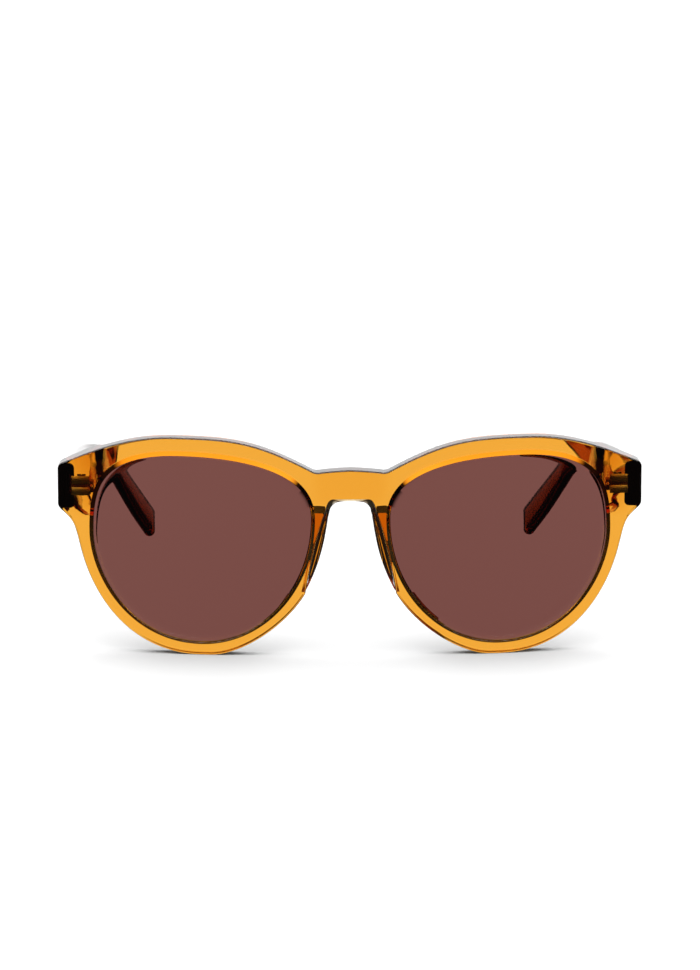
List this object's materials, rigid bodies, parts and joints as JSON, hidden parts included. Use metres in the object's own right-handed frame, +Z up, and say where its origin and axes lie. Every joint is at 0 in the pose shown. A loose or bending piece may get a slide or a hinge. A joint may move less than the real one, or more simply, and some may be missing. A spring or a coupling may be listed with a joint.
{
  "type": "sunglasses",
  "caption": "Round full-rim acetate sunglasses with tinted lenses and two side arms that fold inwards on small screw hinges; worn to shade the eyes.",
  "frame": {"origin": "on the table, at the middle of the open pair's width and length", "axes": "+X to the wearer's left, across the front; +Y from the front towards the temple tips; +Z up"},
  "size_m": [0.1428, 0.145, 0.0539],
  "materials": {
    "honey_acetate": "polished translucent honey-amber cellulose acetate",
    "dark_acetate": "polished, very deep brown cellulose acetate that lets a little red-brown light through",
    "tinted_lens": "smooth clear brown-rose tint, slightly deeper towards the bottom",
    "hinge_metal": "satin nickel-silver"
  },
  "bodies": {
    "front": {"front_frame": "honey_acetate", "lens_left": "tinted_lens", "lens_right": "tinted_lens", "nose_pad_left": "honey_acetate", "nose_pad_right": "honey_acetate", "hinge_front_left": "hinge_metal", "hinge_front_right": "hinge_metal", "hinge_screw_left": "hinge_metal", "hinge_screw_right": "hinge_metal"},
    "temple_left": {"temple_left": "dark_acetate", "hinge_temple_left": "hinge_metal"},
    "temple_right": {"temple_right": "dark_acetate", "hinge_temple_right": "hinge_metal"}
  },
  "joints": [
    {"name": "temple_left_fold", "type": "hinge", "parent": "front", "child": "temple_left", "pos_m": [0.0651, -0.05804, 0.0404], "axis": [0, 0.1219, 0.9925], "range_deg": [0, 82.5]},
    {"name": "temple_right_fold", "type": "hinge", "parent": "front", "child": "temple_right", "pos_m": [-0.0651, -0.05804, 0.0404], "axis": [0, -0.1219, -0.9925], "range_deg": [0, 71]}
  ]
}
